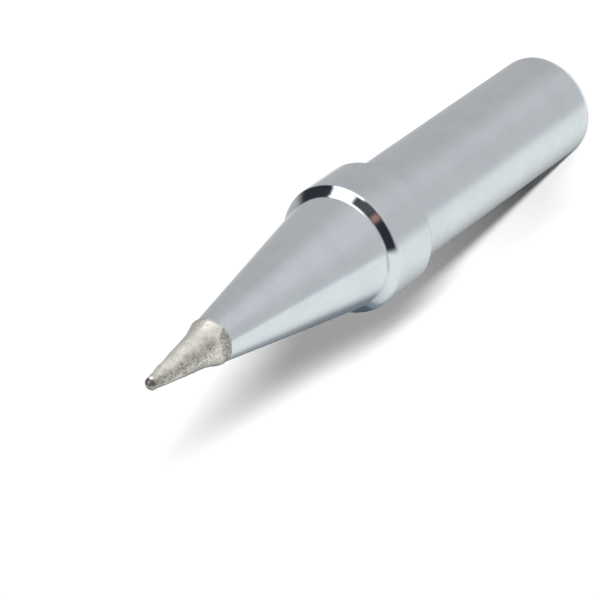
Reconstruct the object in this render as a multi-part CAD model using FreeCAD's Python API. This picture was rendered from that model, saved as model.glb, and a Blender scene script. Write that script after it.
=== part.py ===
import FreeCAD
import Part
import math
import os

# Soldering iron tip: one turned copper piece, plated bright, with a tinned working end.
# It stands on its open rear face, with the heater bore opening downwards and the point up.
# The origin is at the centre of the rear face and +Z runs along the axis to the point.
# All sizes are in millimetres and all angles in degrees.

# Barrel that slides into the iron's nut
barrel_diameter = 6.35
barrel_length = 18.85
rear_edge_radius = 0.38

# Collar that the nut pulls on
collar_diameter = 7.70
collar_length = 3.30
collar_rear_edge_radius = 0.12

# Polished round nose of the collar, an arc from the collar's side in to the cone's foot
nose_ring_length = 0.65
nose_ring_depth = 0.485

# Plated cone, from the nose ring to the border of the tinned end
cone_length = 12.05
cone_end_diameter = 2.63

# Tinned end: a soft bead of solder at its border, a neck, and a taper to the round point
bead_diameter = 2.74
bead_length = 0.17
bead_edge_radius = 0.04
bead_shoulder_radius = 0.28
neck_diameter = 2.08
neck_length = 0.97
neck_radius = 4.0
point_length = 4.30
point_ball_diameter = 0.74

# Bore for the heater, drilled from the rear face
bore_diameter = 4.80
bore_depth = 20.0
bore_mouth_chamfer = 0.12
drill_point_angle = 118.0

# Radii of the turned surfaces, and heights of the steps above the rear face
barrel_radius = barrel_diameter / 2
collar_radius = collar_diameter / 2
cone_foot_radius = collar_radius - nose_ring_depth
cone_end_radius = cone_end_diameter / 2
bead_radius = bead_diameter / 2
waist_radius = neck_diameter / 2
ball_radius = point_ball_diameter / 2
bore_radius = bore_diameter / 2
collar_front = barrel_length + collar_length
cone_foot = collar_front + nose_ring_length
tin_border = cone_foot + cone_length
bead_shoulder = tin_border + bead_length
waist = bead_shoulder + neck_length
ball_centre = waist + point_length

AXIS_FOOT = FreeCAD.Vector(0, 0, 0)
AXIS = FreeCAD.Vector(0, 0, 1)


def corner(radius, height, rounding=0.0):
    """One corner of a turned outline: its place and the radius that breaks it."""
    return FreeCAD.Vector(radius, 0, height), rounding


def tangent_arc(before, at, after, rounding):
    """The arc of the given radius that touches both legs of a corner."""
    towards = before.sub(at).normalize()
    away = after.sub(at).normalize()
    half_angle = towards.getAngle(away) / 2
    reach = rounding / math.tan(half_angle)
    inward = towards.add(away).normalize()
    centre = at.add(inward * (rounding / math.sin(half_angle)))
    start = at.add(towards * reach)
    crown = centre.sub(inward * rounding)
    end = at.add(away * reach)
    return Part.Arc(start, crown, end).toShape()


def turned_edges(corners):
    """Straight runs from corner to corner, with each rounded corner as an arc."""
    edges = []
    pen = corners[0][0]
    for (before, _), (at, rounding), (after, _) in zip(corners, corners[1:], corners[2:]):
        if rounding == 0:
            edges.append(Part.makeLine(pen, at))
            pen = at
            continue
        arc = tangent_arc(before, at, after, rounding)
        edges.append(Part.makeLine(pen, arc.firstVertex().Point))
        edges.append(arc)
        pen = arc.lastVertex().Point
    edges.append(Part.makeLine(pen, corners[-1][0]))
    return edges


def turned_solid(edges):
    """The solid that a closed half outline sweeps round the axis."""
    face = Part.Face(Part.Wire(edges))
    return face.revolve(AXIS_FOOT, AXIS, 360)


def barrel_and_collar_edges():
    """Outline from the rear face out over the barrel to the front edge of the collar."""
    return turned_edges([
        corner(0, 0),
        corner(barrel_radius, 0, rear_edge_radius),
        corner(barrel_radius, barrel_length),
        corner(collar_radius, barrel_length, collar_rear_edge_radius),
        corner(collar_radius, collar_front),
    ])


def nose_ring_edge():
    """Outline of the nose ring: the arc that leaves the collar along its side to the cone."""
    arc_radius = (nose_ring_length ** 2 + nose_ring_depth ** 2) / (2 * nose_ring_depth)
    half_turn = math.atan2(nose_ring_depth, nose_ring_length)
    centre = FreeCAD.Vector(collar_radius - arc_radius, 0, collar_front)
    start = FreeCAD.Vector(collar_radius, 0, collar_front)
    middle = centre.add(FreeCAD.Vector(math.cos(half_turn), 0, math.sin(half_turn)) * arc_radius)
    end = FreeCAD.Vector(cone_foot_radius, 0, cone_foot)
    return Part.Arc(start, middle, end).toShape()


def cone_and_point_edges():
    """Outline of the cone and the tinned end, closed over the ball at the point."""
    taper = math.atan2(waist_radius - ball_radius, point_length)
    ball_foot_radius = ball_radius * math.cos(taper)
    ball_foot = ball_centre + ball_radius * math.sin(taper)
    edges = turned_edges([
        corner(cone_foot_radius, cone_foot),
        corner(cone_end_radius, tin_border, bead_edge_radius),
        corner(bead_radius, bead_shoulder, bead_shoulder_radius),
        corner(waist_radius, waist, neck_radius),
        corner(ball_foot_radius, ball_foot),
    ])
    ball_start = FreeCAD.Vector(ball_foot_radius, 0, ball_foot)
    half_way = (taper + math.pi / 2) / 2
    ball_side_radius = ball_radius * math.cos(half_way)
    ball_side = FreeCAD.Vector(ball_side_radius, 0, ball_centre + ball_radius * math.sin(half_way))
    point = FreeCAD.Vector(0, 0, ball_centre + ball_radius)
    edges.append(Part.Arc(ball_start, ball_side, point).toShape())
    edges.append(Part.makeLine(point, AXIS_FOOT))
    return edges


def turned_blank():
    """The tip as it leaves the lathe, before it is bored."""
    return turned_solid(barrel_and_collar_edges() + [nose_ring_edge()] + cone_and_point_edges())


def heater_bore():
    """The drilled hole: its broken mouth, its straight wall and the drill's conical end."""
    drill_point = bore_radius / math.tan(math.radians(drill_point_angle / 2))
    return turned_solid(turned_edges([
        corner(0, 0),
        corner(bore_radius + bore_mouth_chamfer, 0),
        corner(bore_radius, bore_mouth_chamfer),
        corner(bore_radius, bore_depth),
        corner(0, bore_depth + drill_point),
        corner(0, 0),
    ]))


soldering_tip = turned_blank().cut(heater_bore())

os.makedirs("parts", exist_ok=True)
soldering_tip.exportStep("parts/soldering_tip.step")
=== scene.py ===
"""Soldering iron tip, standing on its open rear end on a pale floor in soft studio light.

The tip is one turned piece. Here it is dressed as two closed pieces that stand for the one CAD
node: the plated body with its bore, and the solder coat on the working end. Sizes are in
millimetres until a mesh is made, and the axes are the CAD's: +Z runs up the tip to its point.
Azimuths are in degrees about that axis, 0 towards -Y and 90 towards +X.
"""
import logging
import math
from dataclasses import dataclass, field
from enum import Enum
from typing import Callable, Mapping, Sequence

import bpy
from mathutils import Matrix, Vector, noise


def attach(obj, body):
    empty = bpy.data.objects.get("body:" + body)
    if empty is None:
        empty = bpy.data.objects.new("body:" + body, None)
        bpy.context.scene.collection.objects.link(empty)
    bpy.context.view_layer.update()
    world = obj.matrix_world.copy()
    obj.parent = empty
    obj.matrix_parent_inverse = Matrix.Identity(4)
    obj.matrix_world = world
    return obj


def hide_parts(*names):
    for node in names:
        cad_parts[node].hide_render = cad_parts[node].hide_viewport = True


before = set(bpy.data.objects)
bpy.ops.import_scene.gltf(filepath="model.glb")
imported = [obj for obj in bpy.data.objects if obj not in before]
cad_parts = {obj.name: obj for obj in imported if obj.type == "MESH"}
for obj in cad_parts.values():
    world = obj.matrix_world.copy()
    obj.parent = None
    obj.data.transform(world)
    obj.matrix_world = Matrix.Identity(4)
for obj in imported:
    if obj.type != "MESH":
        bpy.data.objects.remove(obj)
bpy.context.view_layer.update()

NODE = "soldering_tip"
BODY = "root"
MM = 0.001
DEGREES = math.degrees(1.0)
ON_AXIS = 1e-6
TOUCHING = 1e-5

Colour = tuple[float, float, float]
Triple = tuple[float, float, float]
Pair = tuple[float, float]
Relief = Callable[[float, float, float], Pair]
log = logging.getLogger("soldering_tip")


class Value:
    """A number or colour that a node gives, with the sums that the finishes use."""

    def __init__(self, bench: "Bench", socket: bpy.types.NodeSocket) -> None:
        """Keeps the socket and the bench that further nodes go on.

        Args:
            bench: the node tree's bench.
            socket: the output socket.
        """
        self.bench = bench
        self.socket = socket

    def _sum(self, operation: str, first: object, second: object = None) -> "Value":
        """Places one Math node.

        Args:
            operation: the Math node's operation.
            first: the first number or value.
            second: the second number or value, if the operation has one.

        Returns:
            The node's result.
        """
        inputs = {0: first} if second is None else {0: first, 1: second}
        return self.bench.add("ShaderNodeMath", {"operation": operation}, inputs)

    def __add__(self, other: object) -> "Value":
        """self + other."""
        return self._sum("ADD", self, other)

    def __radd__(self, other: object) -> "Value":
        """other + self."""
        return self._sum("ADD", other, self)

    def __sub__(self, other: object) -> "Value":
        """self - other."""
        return self._sum("SUBTRACT", self, other)

    def __rsub__(self, other: object) -> "Value":
        """other - self."""
        return self._sum("SUBTRACT", other, self)

    def __mul__(self, other: object) -> "Value":
        """self * other."""
        return self._sum("MULTIPLY", self, other)

    def __rmul__(self, other: object) -> "Value":
        """other * self."""
        return self._sum("MULTIPLY", other, self)

    def __neg__(self) -> "Value":
        """-self."""
        return self._sum("MULTIPLY", self, -1.0)

    def __abs__(self) -> "Value":
        """abs(self)."""
        return self._sum("ABSOLUTE", self)

    def larger(self, other: object) -> "Value":
        """The larger of self and other."""
        return self._sum("MAXIMUM", self, other)

    def ramp(self, start: float, end: float, low: float = 0.0, high: float = 1.0) -> "Value":
        """A soft step from low at start to high at end.

        Args:
            start: the value where the step begins.
            end: the value where it ends; it may be below start.
            low: the result before the step.
            high: the result after it.

        Returns:
            The stepped value.
        """
        if end < start:
            start, end, low, high = end, start, high, low
        return self.bench.add(
            "ShaderNodeMapRange",
            {"interpolation_type": "SMOOTHSTEP"},
            {"Value": self, "From Min": start, "From Max": end, "To Min": low, "To Max": high},
        )

    def between(self, limits: Pair, edges: Pair) -> "Value":
        """A level stretch between two limits, with soft edges.

        Args:
            limits: the values in the middle of the lower and of the upper edge.
            edges: half the width of the lower and of the upper edge.

        Returns:
            1 between the limits and 0 outside them.
        """
        lower = self.ramp(limits[0] - edges[0], limits[0] + edges[0])
        return lower * self.ramp(limits[1] + edges[1], limits[1] - edges[1])


class Bench:
    """A node tree on which nodes are placed, one call each."""

    def __init__(self, tree: bpy.types.NodeTree) -> None:
        """Empties the tree.

        Args:
            tree: the tree of a material or of the world.
        """
        self.tree = tree
        self.tree.nodes.clear()

    def node(
        self,
        kind: str,
        settings: Mapping[str, object] | None = None,
        inputs: Mapping[int | str, object] | None = None,
    ) -> bpy.types.Node:
        """Places one node.

        Args:
            kind: the node's type.
            settings: its settings, which are set first.
            inputs: numbers, colours or values, by the input's name or number.

        Returns:
            The node.
        """
        made = self.tree.nodes.new(kind)
        for name, setting in (settings or {}).items():
            setattr(made, name, setting)
        for name, given in (inputs or {}).items():
            if isinstance(given, Value):
                self.tree.links.new(given.socket, made.inputs[name])
            else:
                made.inputs[name].default_value = given
        return made

    def add(
        self,
        kind: str,
        settings: Mapping[str, object] | None = None,
        inputs: Mapping[int | str, object] | None = None,
        output: int | str = 0,
    ) -> Value:
        """Places one node and gives one of its outputs.

        Args:
            kind: the node's type.
            settings: its settings.
            inputs: its inputs.
            output: the name or number of the output that is wanted.

        Returns:
            That output.
        """
        return Value(self, self.node(kind, settings, inputs).outputs[output])

    def blend(self, mask: Value, under: object, over: object) -> Value:
        """Lays one colour over another.

        Args:
            mask: 0 shows the colour under, 1 the colour over.
            under: the first colour.
            over: the second colour.

        Returns:
            The blended colour.
        """
        return self.add(
            "ShaderNodeMix",
            {"data_type": "RGBA"},
            {0: mask, 6: with_alpha(under), 7: with_alpha(over)},
            output=2,
        )

    def noise_at(self, place: Value, scale: float, detail: float, roughness: float = 0.5) -> Value:
        """Places a noise texture.

        Args:
            place: the place that it reads.
            scale: number of lumps to a unit of length.
            detail: number of finer layers.
            roughness: how much the finer layers count.

        Returns:
            The noise, from 0 to 1.
        """
        inputs = {"Vector": place, "Scale": scale, "Detail": detail, "Roughness": roughness}
        return self.add("ShaderNodeTexNoise", inputs=inputs)

    def relief(self, height: Value, distance: float, strength: float = 1.0) -> Value:
        """Places a bump.

        Args:
            height: height of the surface, from 0 to 1.
            distance: millimetres between height 0 and height 1.
            strength: share of the bump that shows.

        Returns:
            The bumped normal.
        """
        inputs = {"Height": height, "Distance": distance * MM, "Strength": strength}
        return self.add("ShaderNodeBump", inputs=inputs)

    def azimuth_and_height(self, vector: Value) -> tuple[Value, Value]:
        """Reads a vector as a place round the axis.

        Args:
            vector: the vector.

        Returns:
            Its azimuth in degrees and its Z.
        """
        apart = self.node("ShaderNodeSeparateXYZ", inputs={0: vector})
        across, forward = Value(self, apart.outputs["X"]), -Value(self, apart.outputs["Y"])
        turn = self.add("ShaderNodeMath", {"operation": "ARCTAN2"}, {0: across, 1: forward})
        return turn * DEGREES, Value(self, apart.outputs["Z"])

    def azimuth_and_rise(self, direction: Value) -> tuple[Value, Value]:
        """Reads a direction as two angles.

        Args:
            direction: the direction, of length 1.

        Returns:
            Its azimuth and its angle above the horizon, both in degrees.
        """
        azimuth, height = self.azimuth_and_height(direction)
        rise = self.add("ShaderNodeMath", {"operation": "ARCSINE"}, {0: height})
        return azimuth, rise * DEGREES

    def surface(self, inputs: Mapping[str, object]) -> None:
        """Places the material's shader and its output.

        Args:
            inputs: numbers, colours or values of the shader, by the input's name.
        """
        shader = self.add("ShaderNodeBsdfPrincipled", inputs=inputs)
        self.node("ShaderNodeOutputMaterial", inputs={"Surface": shader})


def with_alpha(given: object) -> object:
    """Adds the alpha that a colour socket wants to a colour, and leaves values as they are."""
    return (*given, 1.0) if isinstance(given, tuple) else given


def new_material(name: str) -> tuple[bpy.types.Material, Bench]:
    """Makes a material that has no nodes yet.

    Args:
        name: the material's name.

    Returns:
        The material, and the bench for its nodes.
    """
    made = bpy.data.materials.new(name)
    made.use_nodes = True
    return made, Bench(made.node_tree)


@dataclass(frozen=True)
class SurfacePlace:
    """Where a point lies on the turned surface, as values of its material."""

    point: Value
    azimuth: Value
    height: Value

    @classmethod
    def on(cls, bench: Bench) -> "SurfacePlace":
        """Reads the place from the object's own coordinates.

        Args:
            bench: the material's bench.

        Returns:
            The point in millimetres, its azimuth in degrees and its height in millimetres.
        """
        local = bench.add("ShaderNodeTexCoord", output="Object")
        point = bench.add(
            "ShaderNodeVectorMath", {"operation": "SCALE"}, {0: local, "Scale": 1 / MM}
        )
        return cls(point, *bench.azimuth_and_height(point))


@dataclass(frozen=True)
class Patch:
    """A patch of the surface, with a soft edge for each of its pairs of azimuths or heights.

    Each edge leads from its pair's first number, outside the patch, to its second, inside.
    """

    azimuths: tuple[Pair, ...] = ()
    heights: tuple[Pair, ...] = ()

    def mask(self, place: SurfacePlace) -> Value:
        """Shows where the patch is.

        Args:
            place: the place on the surface.

        Returns:
            1 inside all its edges and 0 outside any of them.
        """
        edges = [place.azimuth.ramp(*pair) for pair in self.azimuths]
        edges += [place.height.ramp(*pair) for pair in self.heights]
        inside = edges[0]
        for edge in edges[1:]:
            inside = inside * edge
        return inside


@dataclass(frozen=True)
class PlatedFinish:
    """Bright plating over turned copper: satin, with faint tool marks round the axis.

    Each noise is given by its scale and its detail.
    """

    name: str
    colour: Colour = (0.695, 0.739, 0.785)
    worn_colour: Colour = (0.660, 0.703, 0.748)
    roughness: float = 0.15
    roughness_spread: float = 0.05
    grain_height: float = 0.0006
    cloud_noise: Pair = (0.55, 3.0)
    speck_noise: Pair = (7.0, 4.0)
    mark_noise: Pair = (5.0, 3.0)
    mark_stretch: Triple = (0.35, 0.35, 9.0)
    patina_edge: Pair = (0.42, 0.62)
    patina_shares: Pair = (0.6, 0.4)
    grain_shares: Pair = (0.7, 0.3)

    def material(self) -> bpy.types.Material:
        """Makes the material.

        Returns:
            The plated material.
        """
        made, bench = new_material(self.name)
        place = SurfacePlace.on(bench)
        cloud = bench.noise_at(place.point, *self.cloud_noise)
        speck = bench.noise_at(place.point, *self.speck_noise)
        stretched = bench.add(
            "ShaderNodeVectorMath",
            {"operation": "MULTIPLY"},
            {0: place.point, 1: self.mark_stretch},
        )
        marks = bench.noise_at(stretched, *self.mark_noise)
        patina = cloud * self.patina_shares[0] + speck * self.patina_shares[1]
        grain = marks * self.grain_shares[0] + speck * self.grain_shares[1]
        bench.surface({
            "Base Color": bench.blend(
                patina.ramp(*self.patina_edge), self.colour, self.worn_colour
            ),
            "Metallic": 1.0,
            "Roughness": self.roughness + (speck + marks - 1.0) * self.roughness_spread,
            "Normal": bench.relief(grain, self.grain_height),
        })
        return made


@dataclass(frozen=True)
class BoreFinish:
    """Bare drilled copper inside the bore, dulled brown by heat and scaled dark deeper in."""

    name: str = "heat_dulled_bore"
    colour: Colour = (0.36, 0.22, 0.15)
    scaled_colour: Colour = (0.12, 0.085, 0.07)
    roughness: float = 0.42
    scaled_roughness: float = 0.3
    scaled_metallic: float = 0.35
    burn_noise: Pair = (0.8, 5.0)
    burn_per_mm: float = 0.012
    scaled_edge: Pair = (0.40, 0.66)
    groove_turn_per_mm: float = 30.0
    groove_height: float = 0.004
    groove_strength: float = 0.6

    def material(self) -> bpy.types.Material:
        """Makes the material.

        Returns:
            The material of the bore.
        """
        made, bench = new_material(self.name)
        place = SurfacePlace.on(bench)
        burn = bench.noise_at(place.point, *self.burn_noise)
        turn = place.height * self.groove_turn_per_mm + place.azimuth * math.radians(1.0)
        groove = bench.add("ShaderNodeMath", {"operation": "SINE"}, {0: turn})
        scaled = (burn + place.height * self.burn_per_mm).ramp(*self.scaled_edge)
        bench.surface({
            "Base Color": bench.blend(scaled, self.colour, self.scaled_colour),
            "Metallic": scaled.ramp(0.0, 1.0, 1.0, self.scaled_metallic),
            "Roughness": self.roughness + scaled * self.scaled_roughness,
            "Normal": bench.relief(groove + burn, self.groove_height, self.groove_strength),
        })
        return made


@dataclass(frozen=True)
class SolderDirtAndShade:
    """How much each mark darkens the solder: pits, stains, the streak, the border ring and the
    ball's stains are marks of the solder itself, the low edge and the underside are painted shade,
    the neck is darker all round, and spot clears the darkening under the painted highlight.
    """

    pits: float = 0.10
    grainy_pits: float = 0.34
    stains: float = 0.12
    streak: float = 0.45
    streak_stains: float = 0.24
    streak_pits: float = 0.04
    ring: float = 0.24
    ring_right: float = 0.34
    ring_left: float = 0.42
    ring_pits: float = 0.26
    # Painted shade along the bead's low edge and on the underside
    low_edge_shade: float = 0.50
    under_shade: float = 0.34
    neck: float = 0.08
    ball: float = 0.25
    # Painted highlight: clears the darkening on the ball's bright spot
    spot: float = 1.40


@dataclass(frozen=True)
class SolderFinish:
    """Solder that has wetted the working end: warm grey, smooth above and grainy below, with
    painted shade on its underside and over the ball's top, and painted highlights on the ball end
    and the left rim.

    Each noise is given by its scale and its detail, and the grains' by their roughness too. A
    pair named an edge leads from no mark to full mark, and a pair of levels from least to added.
    """

    name: str = "tinned_solder"
    colour: Colour = (0.715, 0.695, 0.64)
    # Colour of the dirt and of the painted shade
    dirt_and_shade_colour: Colour = (0.235, 0.225, 0.20)
    # Colour of the pale grains and of the painted highlights
    pale_colour: Colour = (0.93, 0.92, 0.885)
    # Colour of the painted shade over the ball's top
    ball_shade_colour: Colour = (0.065, 0.062, 0.062)
    dirt_and_shade: SolderDirtAndShade = SolderDirtAndShade()

    metallic: float = 0.5
    ball_metallic: float = 0.15
    # Metallic taken away under the painted highlight
    highlight_metallic: float = 0.45
    roughness: float = 0.36
    dirt_roughness: float = 0.14
    shine_roughness: float = 0.12
    ball_gloss: float = 0.30
    relief_height: float = 0.04
    relief_strength: float = 0.8
    relief_levels: Pair = (0.15, 0.85)
    relief_blotch: float = 0.5

    grain_noise: Triple = (11.0, 3.0, 0.6)
    blotch_noise: Pair = (2.4, 3.0)
    mottle_noise: Pair = (5.0, 2.0)
    pit_edge: Pair = (0.52, 0.41)
    shine_edge: Pair = (0.53, 0.63)
    stain_edge: Pair = (0.32, 0.72)
    ball_stain_edge: Pair = (0.52, 0.42)
    # Mottle and depth of the painted shade over the ball's top
    ball_shade_edge: Pair = (0.36, 0.60)
    ball_shade_levels: Pair = (0.6, 0.3)
    shine_levels: Pair = (0.12, 0.72)
    # Level of the painted highlight along the left rim
    left_highlight_level: float = 0.4

    grain_azimuth: float = -52.0
    grain_wander: float = 60.0
    grain_edge: Pair = (84.0, 52.0)
    border_height: float = 34.85
    ring_width: float = 0.30
    ring_widening: float = 0.45
    ring_wander: float = 0.4
    ring_edge: Pair = (0.28, -0.05)
    bright_azimuth: float = 31.0
    bright_wander: float = 20.0
    bright_edge: Pair = (26.0, 40.0)
    streak_azimuths: Pair = (-4.0, -16.0)
    streak_turn: Pair = (36.0, 36.9)
    streak_bend: Pair = (37.6, 38.4)
    streak_bend_by: float = 8.0
    streak_wander: float = 44.0
    streak_edge: Pair = (58.0, 26.0)
    streak_wider: Pair = (36.8, 37.2)
    streak_wider_by: float = 6.0
    streak_widest: Pair = (38.7, 39.5)
    streak_widest_by: float = 13.0
    # Place and size of the painted highlight on the ball end
    highlight_azimuth: float = 46.0
    highlight_height: float = 40.33
    highlight_sides: Pair = (24.0, 9.0)
    highlight_rises: Pair = (0.13, 0.05)

    ring_wide: Patch = Patch(azimuths=((13.0, -11.0), (-76.0, -48.0)))
    ring_right: Patch = Patch(azimuths=((22.0, 2.0), (-96.0, -74.0)))
    ring_left: Patch = Patch(azimuths=((52.0, 64.0),))
    streak_reach: Patch = Patch(heights=((35.45, 36.05),))
    # Painted shade along the bead's low edge and on the underside
    low_edge_shade: Patch = Patch(azimuths=((-60.0, -78.0),), heights=((35.27, 35.07),))
    under_shade: Patch = Patch(azimuths=((-40.0, -64.0),), heights=((39.0, 37.8), (36.3, 37.0)))
    # Painted highlight along the left rim of the taper
    painted_left_highlight: Patch = Patch(azimuths=((64.0, 82.0),), heights=((37.8, 38.6),))
    neck: Patch = Patch(heights=((35.65, 36.15), (37.15, 36.55)))
    ball: Patch = Patch(heights=((39.8, 40.05),))
    # Painted shade over the ball's top
    shaded_crown: Patch = Patch(azimuths=((-66.0, -8.0), (172.0, 120.0)), heights=((40.34, 40.47),))

    def _ring(self, place: SurfacePlace, blotch: Value) -> Value:
        """Finds the dull ring along the solder's border, which leaves out its bright side.

        Args:
            place: the place on the solder.
            blotch: the coarse noise, which makes the ring's edges wander.

        Returns:
            1 in the ring and 0 outside it.
        """
        reach = self.ring_wide.mask(place) * self.ring_widening + self.ring_width
        reach = reach - blotch * self.ring_wander
        ring = (place.height - self.border_height - reach).ramp(*self.ring_edge)
        off_bright = abs(place.azimuth - self.bright_azimuth) + blotch * self.bright_wander
        return ring * off_bright.ramp(*self.bright_edge)

    def _streak(self, place: SurfacePlace, blotch: Value) -> Value:
        """Finds the darker streak that runs up the taper, bends and widens towards the ball.

        Args:
            place: the place on the solder.
            blotch: the coarse noise, which makes the streak's edges wander.

        Returns:
            1 in the streak and 0 outside it.
        """
        line = place.height.ramp(*self.streak_turn, *self.streak_azimuths)
        line = line - place.height.ramp(*self.streak_bend) * self.streak_bend_by
        widening = place.height.ramp(*self.streak_wider) * self.streak_wider_by
        widening = widening + place.height.ramp(*self.streak_widest) * self.streak_widest_by
        off_line = abs(place.azimuth - line) + blotch * self.streak_wander - widening
        return off_line.ramp(*self.streak_edge) * self.streak_reach.mask(place)

    def _painted_highlight(self, place: SurfacePlace) -> Value:
        """Finds the painted highlight, one bright spot on the ball end.

        Args:
            place: the place on the solder.

        Returns:
            1 in the spot and 0 outside it.
        """
        sides = abs(place.azimuth - self.highlight_azimuth).ramp(*self.highlight_sides)
        return sides * abs(place.height - self.highlight_height).ramp(*self.highlight_rises)

    def material(self) -> bpy.types.Material:
        """Makes the material.

        Returns:
            The solder.
        """
        made, bench = new_material(self.name)
        place = SurfacePlace.on(bench)
        grains = bench.noise_at(place.point, *self.grain_noise)
        blotch = bench.noise_at(place.point, *self.blotch_noise)
        mottle = bench.noise_at(place.point, *self.mottle_noise)
        ring = self._ring(place, blotch)
        streak = self._streak(place, blotch)
        # spot is a painted highlight on the ball end: it clears the darkening, adds pale colour
        # and takes metallic away
        spot = self._painted_highlight(place)
        ball = self.ball.mask(place)
        off_grain = abs(place.azimuth - self.grain_azimuth) + blotch * self.grain_wander
        grainy = off_grain.ramp(*self.grain_edge).larger(ring)
        pits = grains.ramp(*self.pit_edge)
        stains = mottle.ramp(*self.stain_edge)
        dirt_and_shade_shares = self.dirt_and_shade
        streak_dirt = stains * dirt_and_shade_shares.streak_stains + pits * dirt_and_shade_shares.streak_pits + dirt_and_shade_shares.streak
        ring_dirt = (
            self.ring_right.mask(place) * dirt_and_shade_shares.ring_right
            + self.ring_left.mask(place) * dirt_and_shade_shares.ring_left
            + pits * dirt_and_shade_shares.ring_pits
            + dirt_and_shade_shares.ring
        )
        # Dirt and painted shade: the low edge and underside terms are painted shade, and the spot
        # term clears the darkening under the painted highlight
        dirt_and_shade = (
            pits * (grainy * dirt_and_shade_shares.grainy_pits + dirt_and_shade_shares.pits)
            + streak * streak_dirt
            + ring * ring_dirt
            + self.low_edge_shade.mask(place) * dirt_and_shade_shares.low_edge_shade
            + self.neck.mask(place) * dirt_and_shade_shares.neck
            + ball * mottle.ramp(*self.ball_stain_edge) * dirt_and_shade_shares.ball
            - spot * dirt_and_shade_shares.spot
            + self.under_shade.mask(place) * dirt_and_shade_shares.under_shade
            + stains * dirt_and_shade_shares.stains
        )
        # Pale grains, plus the painted highlights on the ball end and the left rim
        grain_flecks_and_highlights = (
            grains.ramp(*self.shine_edge) * (grainy * self.shine_levels[1] + self.shine_levels[0])
            + spot
            + self.painted_left_highlight.mask(place) * self.left_highlight_level
        )
        # Painted shade over the ball's top, mottled, and cleared under the painted highlight
        ball_shade_depth = mottle.ramp(*self.ball_shade_edge) * self.ball_shade_levels[1] + self.ball_shade_levels[0]
        painted_ball_shade = self.shaded_crown.mask(place) * ball_shade_depth - spot
        clean = bench.blend(grain_flecks_and_highlights, self.colour, self.pale_colour)
        colour = bench.blend(dirt_and_shade, clean, self.dirt_and_shade_colour)
        roughness = self.roughness + dirt_and_shade * self.dirt_roughness - grain_flecks_and_highlights * self.shine_roughness
        lumps = grains * (grainy * self.relief_levels[1] + self.relief_levels[0])
        lumps = lumps + blotch * self.relief_blotch
        bench.surface({
            "Base Color": bench.blend(painted_ball_shade, colour, self.ball_shade_colour),
            "Metallic": self.metallic + ball * self.ball_metallic - spot * self.highlight_metallic,
            "Roughness": roughness * (1.0 - ball * self.ball_gloss),
            "Normal": bench.relief(lumps, self.relief_height, self.relief_strength),
        })
        return made


class Region(Enum):
    """Which finish a stretch of an outline has, by its number among its piece's materials."""

    BARREL = 0
    COLLAR = 1
    CONE = 2
    POLISHED = 3
    BORE = 4
    WORN_EDGE = 5
    # The solder coat is a piece of its own, with one finish
    SOLDER = 0


@dataclass(frozen=True)
class Station:
    """One point of a turned outline, and the finish of the run that starts there."""

    radius: float
    height: float
    region: Region


class Outline:
    """A half outline of a turned piece, drawn point by point from the axis back to the axis."""

    def __init__(self, radius: float, height: float, region: Region) -> None:
        """Puts the pen down.

        Args:
            radius: radius of the first point.
            height: its height.
            region: finish of the run that starts there.
        """
        self.stations = [Station(radius, height, region)]

    def to(self, radius: float, height: float, region: Region, step: float = 0.4) -> None:
        """Draws a straight run, with stations along it.

        Args:
            radius: radius at the end of the run.
            height: height at the end of the run.
            region: finish of the run.
            step: longest distance between stations.
        """
        last = self.stations[-1]
        reach = math.hypot(radius - last.radius, height - last.height)
        if reach < TOUCHING:
            return
        count = math.ceil(reach / step)
        self.stations[-1] = Station(last.radius, last.height, region)
        for i in range(1, count + 1):
            part = i / count
            self.stations.append(Station(
                last.radius + (radius - last.radius) * part,
                last.height + (height - last.height) * part,
                region,
            ))

    def arc(self, centre: Pair, radius: float, turns: Pair, region: Region, count: int) -> None:
        """Draws an arc from one angle to another.

        Args:
            centre: radius and height of the arc's centre.
            radius: the arc's own radius.
            turns: first and last angle in degrees, 0 outwards and 90 upwards.
            region: finish of the arc.
            count: number of runs that the arc is cut into.
        """
        for i in range(count + 1):
            angle = math.radians(turns[0] + (turns[1] - turns[0]) * i / count)
            spot = (centre[0] + radius * math.cos(angle), centre[1] + radius * math.sin(angle))
            self.to(*spot, region)

    def rounded(
        self,
        corner: Pair,
        after: Pair,
        rounding: float,
        region: Region,
        step: float,
        count: int,
    ) -> None:
        """Draws a run towards a corner and rounds it towards the next corner.

        Args:
            corner: radius and height of the sharp corner.
            after: radius and height of the corner that follows.
            rounding: radius of the arc that breaks the corner.
            region: finish of the run and the arc.
            step: longest distance between stations on the run.
            count: number of runs that the arc is cut into.
        """
        last = self.stations[-1]
        at = Vector(corner)
        towards = (Vector((last.radius, last.height)) - at).normalized()
        away = (Vector(after) - at).normalized()
        half_angle = towards.angle(away) / 2
        reach = rounding / math.tan(half_angle)
        inward = (towards + away).normalized()
        centre = at + inward * (rounding / math.sin(half_angle))
        first = at + towards * reach - centre
        final = at + away * reach - centre
        self.to(*(centre + first), region, step)
        turn = first.angle_signed(final)
        for i in range(1, count + 1):
            spot = Matrix.Rotation(-turn * i / count, 2) @ first + centre
            self.to(*spot, region)


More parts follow.
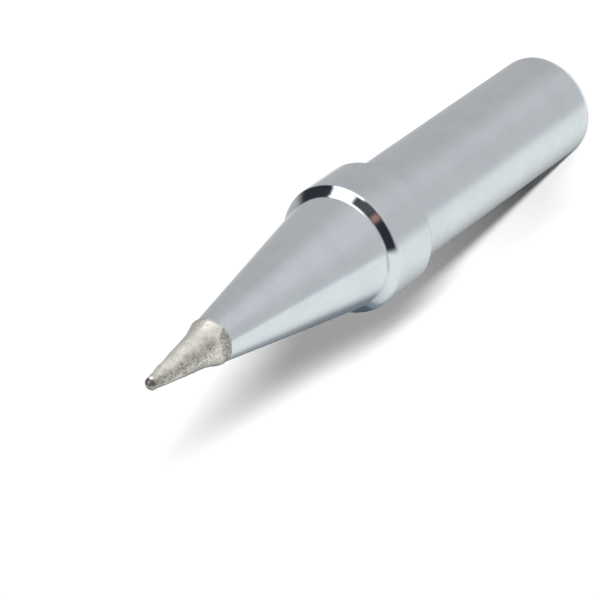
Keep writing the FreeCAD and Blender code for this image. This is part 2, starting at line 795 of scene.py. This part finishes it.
def turned_mesh(
    name: str,
    stations: Sequence[Station],
    segments: int,
    sharp_edge: float,
    relief: Relief | None = None,
) -> bpy.types.Mesh:
    """Sweeps an outline round the axis into a closed mesh.

    Args:
        name: name of the mesh.
        stations: the outline, whose first and last points lie on the axis.
        segments: number of steps round the axis.
        sharp_edge: angle in degrees above which an edge is shaded sharp.
        relief: gives the change of radius and height at an azimuth, radius and height.

    Returns:
        The mesh, in metres, smooth, with its materials numbered by region.
    """
    vertices: list[Triple] = []
    rings: list[list[int]] = []
    for station in stations:
        if station.radius < ON_AXIS:
            rings.append([len(vertices)] * segments)
            vertices.append((0.0, 0.0, station.height * MM))
            continue
        ring = []
        for k in range(segments):
            turn = 2 * math.pi * k / segments
            radius, height = station.radius, station.height
            if relief is not None:
                out, up = relief(turn, radius, height)
                radius, height = radius + out, height + up
            ring.append(len(vertices))
            vertices.append(
                (radius * math.sin(turn) * MM, -radius * math.cos(turn) * MM, height * MM)
            )
        rings.append(ring)
    faces, regions = [], []
    for lower, upper, station in zip(rings, rings[1:], stations):
        for k in range(segments):
            after = (k + 1) % segments
            loop = [lower[k], lower[after], upper[after], upper[k]]
            face = [v for i, v in enumerate(loop) if v != loop[i - 1]]
            if len(face) > 2:
                faces.append(face)
                regions.append(station.region.value)
    mesh = bpy.data.meshes.new(name)
    mesh.from_pydata(vertices, [], faces)
    mesh.polygons.foreach_set("material_index", regions)
    mesh.polygons.foreach_set("use_smooth", [True] * len(faces))
    mesh.update()
    mesh.set_sharp_from_angle(angle=math.radians(sharp_edge))
    return mesh


def seat_piece(
    name: str, mesh: bpy.types.Mesh, finishes: Sequence[bpy.types.Material]
) -> bpy.types.Object:
    """Makes a piece of the tip out of a mesh, hangs it under the root body's empty and hides the
    CAD node that it stands for.

    Args:
        name: name of the piece.
        mesh: its mesh, in the CAD's frame.
        finishes: its materials, in the order of the mesh's numbers.

    Returns:
        The piece.
    """
    piece = bpy.data.objects.new(name, mesh)
    bpy.context.scene.collection.objects.link(piece)
    for finish in finishes:
        mesh.materials.append(finish)
    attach(piece, BODY)
    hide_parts(NODE)
    return piece


@dataclass
class PlatedBody:
    """Barrel, collar, nose ring and cone, with the heater bore in the rear end."""

    barrel_radius: float = 3.175
    barrel_length: float = 18.85
    rear_edge_radius: float = 0.60
    collar_radius: float = 3.85
    collar_front: float = 22.15
    collar_rear_edge_radius: float = 0.12
    nose_ring_length: float = 0.65
    nose_ring_depth: float = 0.485
    nose_ring_break: float = 12.0
    cone_end: Pair = (1.315, 34.85)
    bore_radius: float = 2.40
    bore_depth: float = 20.0
    bore_mouth_chamfer: float = 0.12
    drill_point_angle: float = 118.0

    segments: int = 224
    sharp_edge: float = 11.0
    edge_step: float = 0.1
    collar_step: float = 0.2
    cone_step: float = 0.3
    drill_step: float = 0.5
    bore_step: float = 1.0
    rear_edge_cuts: int = 14
    collar_edge_cuts: int = 12
    nose_ring_cuts: int = 32

    barrel: PlatedFinish = PlatedFinish("barrel_plating", roughness=0.26)
    collar: PlatedFinish = PlatedFinish("collar_plating", roughness=0.24)
    cone: PlatedFinish = PlatedFinish("cone_plating", roughness=0.16, grain_height=0.0003)
    polished: PlatedFinish = PlatedFinish(
        "polished_ring", roughness=0.09, roughness_spread=0.01, grain_height=0.0001
    )
    bore: BoreFinish = BoreFinish()
    worn_edge: PlatedFinish = PlatedFinish(
        "worn_edge", colour=(0.62, 0.66, 0.70), worn_colour=(0.56, 0.60, 0.64), roughness=0.45
    )

    def _draw_bore(self) -> Outline:
        """Draws the bore from its drilled end down to its broken mouth.

        Returns:
            The outline so far.
        """
        drill_point = self.bore_radius / math.tan(math.radians(self.drill_point_angle / 2))
        drawn = Outline(0.0, self.bore_depth + drill_point, Region.BORE)
        drawn.to(self.bore_radius, self.bore_depth, Region.BORE, self.drill_step)
        drawn.to(self.bore_radius, self.bore_mouth_chamfer, Region.BORE, self.bore_step)
        drawn.to(self.bore_radius + self.bore_mouth_chamfer, 0.0, Region.BORE)
        return drawn

    def _draw_nose_ring(self, drawn: Outline) -> None:
        """Draws the nose ring: an arc that breaks the collar's front edge and ends at the cone.

        Args:
            drawn: the outline, which has reached the collar's front.
        """
        chord = math.hypot(self.nose_ring_length, self.nose_ring_depth)
        lean = math.degrees(math.atan2(self.nose_ring_depth, self.nose_ring_length))
        first, final = self.nose_ring_break, 2 * lean - self.nose_ring_break
        radius = chord / (2 * math.sin(math.radians(final - first) / 2))
        centre = (
            self.collar_radius - radius * math.cos(math.radians(first)),
            self.collar_front - radius * math.sin(math.radians(first)),
        )
        drawn.arc(centre, radius, (first, final), Region.POLISHED, self.nose_ring_cuts)

    def outline(self) -> Outline:
        """Draws the body from the bore's end out over the rear face and up to the cone's end.

        Returns:
            The closed half outline.
        """
        drawn = self._draw_bore()
        drawn.to(
            self.barrel_radius - self.rear_edge_radius, 0.0, Region.BARREL, self.edge_step
        )
        drawn.rounded(
            (self.barrel_radius, 0.0), (self.barrel_radius, self.barrel_length),
            self.rear_edge_radius, Region.POLISHED, self.edge_step, self.rear_edge_cuts,
        )
        drawn.to(self.barrel_radius, self.barrel_length, Region.BARREL)
        drawn.rounded(
            (self.collar_radius, self.barrel_length), (self.collar_radius, self.collar_front),
            self.collar_rear_edge_radius, Region.WORN_EDGE, self.edge_step, self.collar_edge_cuts,
        )
        drawn.to(self.collar_radius, self.collar_front, Region.COLLAR, self.collar_step)
        self._draw_nose_ring(drawn)
        drawn.to(
            self.collar_radius - self.nose_ring_depth, self.collar_front + self.nose_ring_length,
            Region.CONE,
        )
        drawn.to(*self.cone_end, Region.CONE, self.cone_step)
        drawn.to(0.0, self.cone_end[1], Region.CONE)
        return drawn

    def build(self) -> bpy.types.Object:
        """Makes the piece.

        Returns:
            The plated body.
        """
        mesh = turned_mesh(
            "plated_body", self.outline().stations, self.segments, self.sharp_edge
        )
        finishes = (
            self.barrel, self.collar, self.cone, self.polished, self.bore, self.worn_edge
        )
        return seat_piece("plated_body", mesh, [finish.material() for finish in finishes])


@dataclass
class TinnedPoint:
    """Solder coat on the working end: border bead, neck, taper and ball."""

    border: Pair = (1.315, 34.85)
    border_slack: float = 0.01
    shoulder: Pair = (1.37, 35.02)
    shoulder_rounding: float = 0.28
    waist: Pair = (1.04, 35.99)
    waist_rounding: float = 4.0
    ball_radius: float = 0.37
    ball_centre: float = 40.29
    seat_inset: float = 0.12
    seat_depth: float = 0.35
    lip_inset: float = 0.03
    lip_depth: float = 0.06

    ripple: float = 0.03
    ripple_scales: Pair = (1.7, 4.2)
    grain: float = 0.016
    grain_scale: float = 8.0
    grain_azimuth: float = -52.0
    grain_spread: float = 80.0
    grain_least: float = 0.2
    sag: float = 0.07
    sag_reach: float = 0.7
    sag_waves: tuple[Pair, Pair] = ((1.6, 4.0), (5.0, 7.0))
    fine_share: float = 0.5

    segments: int = 192
    sharp_edge: float = 34.0
    shoulder_step: float = 0.03
    point_step: float = 0.05
    shoulder_cuts: int = 10
    waist_cuts: int = 16
    ball_cuts: int = 18
    finish: SolderFinish = SolderFinish()

    def outline(self) -> Outline:
        """Draws the coat from its hidden seat in the cone up to the point.

        Returns:
            The closed half outline.
        """
        edge, level = self.border
        taper = math.atan2(
            self.waist[0] - self.ball_radius, self.ball_centre - self.waist[1]
        )
        ball_foot = (
            self.ball_radius * math.cos(taper),
            self.ball_centre + self.ball_radius * math.sin(taper),
        )
        drawn = Outline(0.0, level - self.seat_depth, Region.SOLDER)
        drawn.to(edge - self.seat_inset, level - self.seat_depth, Region.SOLDER)
        drawn.to(edge - self.lip_inset, level - self.lip_depth, Region.SOLDER)
        drawn.to(edge, level, Region.SOLDER)
        drawn.rounded(
            self.shoulder, self.waist, self.shoulder_rounding, Region.SOLDER,
            self.shoulder_step, self.shoulder_cuts,
        )
        drawn.rounded(
            self.waist, ball_foot, self.waist_rounding, Region.SOLDER,
            self.point_step, self.waist_cuts,
        )
        drawn.to(*ball_foot, Region.SOLDER, self.point_step)
        drawn.arc(
            (0.0, self.ball_centre), self.ball_radius, (math.degrees(taper), 90.0),
            Region.SOLDER, self.ball_cuts,
        )
        return drawn

    def relief(self, turn: float, radius: float, height: float) -> Pair:
        """Unevenness of the solder at one place of its surface.

        Args:
            turn: azimuth in radians.
            radius: radius of the smooth outline there.
            height: height of the smooth outline there.

        Returns:
            The change of radius and of height, in millimetres.
        """
        if height < self.border[1] - self.border_slack:
            return 0.0, 0.0
        spot = Vector((radius * math.sin(turn), -radius * math.cos(turn), height))
        off_side = math.remainder(math.degrees(turn) - self.grain_azimuth, 360.0)
        grainy = max(self.grain_least, 1.0 - (off_side / self.grain_spread) ** 2)
        coarse, fine = (noise.noise(spot * scale) for scale in self.ripple_scales)
        lumps = coarse * self.ripple + fine * self.ripple * self.fine_share
        grains = noise.noise(spot * self.grain_scale) * self.grain * grainy
        slow, quick = (
            noise.noise(Vector((math.sin(turn) * swing, math.cos(turn) * swing, layer)))
            for swing, layer in self.sag_waves
        )
        sag = slow + self.fine_share * quick
        near_border = max(0.0, 1.0 - (height - self.border[1]) / self.sag_reach)
        at_ball = min(1.0, radius / self.ball_radius)
        return (lumps + grains) * at_ball, sag * self.sag * near_border

    def build(self) -> bpy.types.Object:
        """Makes the piece.

        Returns:
            The solder coat.
        """
        mesh = turned_mesh(
            "tinned_point", self.outline().stations, self.segments, self.sharp_edge, self.relief
        )
        return seat_piece("tinned_point", mesh, [self.finish.material()])


@dataclass(frozen=True)
class StudioCard:
    """A light or dark card round the tip, which the bright plating shows.

    Its limits are in degrees. They are those of the directions that it covers, or of the
    azimuth and tilt of the plating that shows it in the photograph.
    """

    azimuths: Pair
    rises: Pair
    colour: Colour
    side_edges: Pair = (4.0, 4.0)
    level_edges: Pair = (4.0, 4.0)

    def mask(self, azimuth: Value, rise: Value) -> Value:
        """Shows where the card is.

        Args:
            azimuth: azimuth of the direction looked in, or of the plating.
            rise: elevation of that direction, or tilt of the plating.

        Returns:
            1 inside the card and 0 outside it.
        """
        across = azimuth.between(self.azimuths, self.side_edges)
        return across * rise.between(self.rises, self.level_edges)


def grey(level: float) -> Colour:
    """A neutral colour of one level."""
    return (level, level, level)


@dataclass(frozen=True)
class StripLamp:
    """A tall narrow softbox in front of the tip, placed by the angles that it covers."""

    name: str
    side: float
    rises: Pair
    width: float
    level: float


@dataclass
class Studio:
    """Pale floor, two strip lamps, and a room of light and dark cards for the metal to show."""

    room: Colour = grey(0.56)
    ambient: Colour = grey(0.04)
    backdrop: Colour = grey(1.0)
    lamps: tuple[StripLamp, ...] = (
        StripLamp("low_strip", 4.75, (40.0, 53.6), 2.0, 0.77),
        StripLamp("high_strip", 7.0, (65.5, 87.3), 4.3, 0.30),
    )
    lamp_distance: float = 12000.0
    lamp_strips: int = 48
    view_ray: Triple = (0.0, 0.682, -0.7314)
    floor_half: float = 500.0
    floor_colour: Colour = grey(0.80)
    floor_seen: Colour = grey(0.99)
    cards: list[StudioCard] = field(default_factory=lambda: [
        StudioCard((-50.0, 30.0), (-95.0, 95.0), grey(0.645), (4.0, 22.0)),
        StudioCard((8.0, 38.0), (-95.0, 95.0), grey(0.675), (12.0, 12.0)),
        StudioCard((-12.0, 52.0), (-43.0, 95.0), grey(0.715), (20.0, 20.0)),
        StudioCard((155.0, 215.0), (-95.0, 95.0), grey(0.74), (12.0, 4.0)),
        StudioCard((-220.0, -100.0), (-95.0, 95.0), grey(0.26), (4.0, 20.0)),
        StudioCard((-135.0, -50.0), (-95.0, 95.0), (0.985, 1.01, 0.985), (50.0, 6.0)),
        StudioCard((-220.0, -137.0), (-44.5, 20.0), (0.10, 0.12, 0.14), (4.0, 21.0), (2.0, 10.0)),
        StudioCard((-220.0, 215.0), (-95.0, -66.0), grey(1.0), (4.0, 4.0), (4.0, 11.0)),
    ])
    plating_cards: list[StudioCard] = field(default_factory=lambda: [
        StudioCard((75.0, 120.0), (-40.0, 3.0), grey(1.08), (4.0, 3.0), (3.0, 3.0)),
        StudioCard((-120.0, -81.0), (-5.0, 4.0), grey(0.56), (3.0, 4.0), (3.0, 3.0)),
        StudioCard((-120.0, -83.0), (5.0, 16.0), (0.12, 0.15, 0.17), (4.0, 4.0), (3.0, 3.0)),
        StudioCard((-120.0, -69.5), (5.0, 9.4), (0.17, 0.205, 0.235), (4.0, 9.5), (2.0, 1.6)),
        StudioCard((-89.0, -73.0), (10.4, 14.0), (0.50, 0.53, 0.55), (4.0, 5.0), (1.5, 3.0)),
        StudioCard((-120.0, -87.0), (17.0, 80.0), (0.27, 0.31, 0.34), (4.0, 4.0), (3.0, 3.0)),
        StudioCard((-140.0, -95.0), (12.0, 80.0), (0.11, 0.13, 0.145), (4.0, 4.0), (4.0, 3.0)),
        StudioCard((-1.0, 19.0), (5.0, 15.0), grey(0.745), (5.0, 4.0), (2.0, 3.0)),
        StudioCard((-47.0, -20.0), (51.0, 80.0), grey(0.72), (5.0, 5.0), (4.0, 3.0)),
        StudioCard((-27.5, 30.0), (21.0, 54.5), (0.032, 0.034, 0.042), (3.0, 2.5), (5.0, 4.0)),
        StudioCard((1.5, 8.0), (24.0, 53.0), (0.42, 0.25, 0.215), (3.0, 3.0), (5.0, 4.0)),
        StudioCard((10.0, 27.0), (21.0, 56.0), (0.10, 0.105, 0.10), (2.5, 3.0), (5.0, 4.0)),
        StudioCard((51.5, 89.0), (17.0, 66.0), (0.036, 0.038, 0.045), (2.0, 7.0), (3.0, 4.0)),
        StudioCard((30.0, 51.5), (17.0, 85.0), grey(1.9), (2.5, 2.0), (3.0, 3.0)),
        StudioCard((22.5, 53.0), (17.0, 24.0), grey(1.9), (3.0, 2.0), (3.0, 4.0)),
        StudioCard((14.0, 53.5), (54.0, 85.0), grey(1.7), (9.0, 2.0), (3.5, 3.0)),
    ])

    def build(self) -> None:
        """Puts up the floor, the lamps and the world."""
        self._floor()
        for strip in self.lamps:
            self._lamp(strip)
        self._world()
        cards = len(self.cards) + len(self.plating_cards)
        log.info("studio: floor, %d lamps and %d cards", len(self.lamps), cards)

    def _floor(self) -> None:
        """Lays the floor: white to the camera, absent to glossy rays and clear from below."""
        mesh = bpy.data.meshes.new("floor")
        half = self.floor_half * MM
        corners = [(-half, -half, 0), (half, -half, 0), (half, half, 0), (-half, half, 0)]
        mesh.from_pydata(corners, [], [(0, 1, 2, 3)])
        floor = bpy.data.objects.new("floor", mesh)
        bpy.context.scene.collection.objects.link(floor)
        floor.visible_glossy = False
        made, bench = new_material("pale_floor")
        seen = bench.add("ShaderNodeLightPath", output="Is Camera Ray")
        colour = bench.blend(seen, self.floor_colour, self.floor_seen)
        paint = bench.add("ShaderNodeBsdfDiffuse", inputs={"Color": colour})
        clear = bench.add("ShaderNodeBsdfTransparent")
        beneath = bench.add("ShaderNodeNewGeometry", output="Backfacing")
        shader = bench.add("ShaderNodeMixShader", inputs={0: beneath, 1: paint, 2: clear})
        bench.node("ShaderNodeOutputMaterial", inputs={"Surface": shader})
        mesh.materials.append(made)

    def _lamp(self, strip: StripLamp) -> None:
        """Hangs one strip lamp, which faces the tip's foot.

        Args:
            strip: the lamp's place, size and level.
        """
        side = math.radians(strip.side)
        low, high = (math.radians(rise) for rise in strip.rises)
        middle = (low + high) / 2
        facing = Vector((
            math.sin(side), -math.cos(side) * math.cos(middle), math.cos(side) * math.sin(middle)
        ))
        data = bpy.data.lights.new(strip.name, "AREA")
        data.shape = "RECTANGLE"
        distance = self.lamp_distance * MM
        data.size = 2 * distance * math.tan(math.radians(strip.width) / 2)
        data.size_y = 2 * distance * math.tan((high - low) / 2)
        lamp = bpy.data.objects.new(strip.name, data)
        bpy.context.scene.collection.objects.link(lamp)
        along_y = Vector((0.0, math.sin(middle), math.cos(middle)))
        along_x = along_y.cross(facing).normalized()
        turned = Matrix((along_x, along_y, facing)).transposed().to_4x4()
        lamp.matrix_world = Matrix.Translation(facing * distance) @ turned
        data.energy = strip.level * math.pi ** 2 / self._floor_share(lamp, data)
        lamp.visible_glossy = False
        lamp.visible_camera = False

    def _floor_share(self, lamp: bpy.types.Object, data: bpy.types.AreaLight) -> float:
        """Works out how much of one watt of the lamp falls on the floor at the tip's foot.

        Args:
            lamp: the lamp in place.
            data: its light.

        Returns:
            The lamp's view factor per square metre of its face.
        """
        facing = lamp.matrix_world.to_3x3() @ Vector((0.0, 0.0, 1.0))
        share = 0.0
        for i in range(self.lamp_strips):
            along = ((i + 0.5) / self.lamp_strips - 0.5) * data.size_y
            spot = lamp.matrix_world @ Vector((0.0, along, 0.0))
            away = spot.length
            falling, leaving = spot.z / away, spot.dot(facing) / away
            share += falling * leaving / away ** 2 / self.lamp_strips
        return share

    def _world(self) -> None:
        """Makes the world: white behind the tip, cards in its reflections, soft light else."""
        world = bpy.data.worlds.new("studio")
        bpy.context.scene.world = world
        world.use_nodes = True
        bench = Bench(world.node_tree)
        looked = bench.add("ShaderNodeTexCoord", output="Generated")
        # The plating that mirrors the photograph's view ray into the direction looked in
        bend = bench.add(
            "ShaderNodeVectorMath", {"operation": "SUBTRACT"}, {0: looked, 1: self.view_ray}
        )
        plating = bench.add("ShaderNodeVectorMath", {"operation": "NORMALIZE"}, {0: bend})
        shown: object = self.room
        for facing, cards in ((looked, self.cards), (plating, self.plating_cards)):
            azimuth, rise = bench.azimuth_and_rise(facing)
            for card in cards:
                shown = bench.blend(card.mask(azimuth, rise), shown, card.colour)
        rays = bench.node("ShaderNodeLightPath").outputs
        camera, glossy, through = (
            Value(bench, rays[name])
            for name in ("Is Camera Ray", "Is Glossy Ray", "Is Transmission Ray")
        )
        metal = bench.blend(glossy.larger(through), self.ambient, shown)
        colour = bench.blend(camera, metal, self.backdrop)
        sky = bench.add("ShaderNodeBackground", inputs={"Color": colour, "Strength": 1.0})
        bench.node("ShaderNodeOutputWorld", inputs={"Surface": sky})


@dataclass
class PhotoCamera:
    """The photograph's long lens, which looks down on the tip with its frame rolled."""

    place: Triple = (0.0, -147.743, 186.909)
    right: Triple = (-0.57785271, -0.6005702, -0.5526316)
    up: Triple = (0.81612904, -0.42153836, -0.39527055)
    back: Triple = (0.0044323, -0.67942685, 0.73372986)
    lens: float = 240.0
    sensor: float = 36.0
    clip: Pair = (10.0, 20000.0)

    def build(self) -> None:
        """Makes the camera and gives it to the scene."""
        data = bpy.data.cameras.new("camera")
        data.lens = self.lens
        data.sensor_width = self.sensor
        data.clip_start, data.clip_end = (distance * MM for distance in self.clip)
        camera = bpy.data.objects.new("camera", data)
        bpy.context.scene.collection.objects.link(camera)
        turned = Matrix((self.right, self.up, self.back)).transposed().to_4x4()
        camera.matrix_world = Matrix.Translation(Vector(self.place) * MM) @ turned
        bpy.context.scene.camera = camera
        log.info("camera: %.0f mm lens", self.lens)


def main() -> None:
    """Builds the pieces, the studio and the camera in order."""
    logging.basicConfig(level=logging.INFO, format="%(name)s: %(message)s")
    for maker in (PlatedBody(), TinnedPoint()):
        piece = maker.build()
        log.info("%s: %d faces", piece.name, len(piece.data.polygons))
    Studio().build()
    PhotoCamera().build()
    bpy.context.scene.view_settings.view_transform = "Standard"


if __name__ == "__main__":
    main()
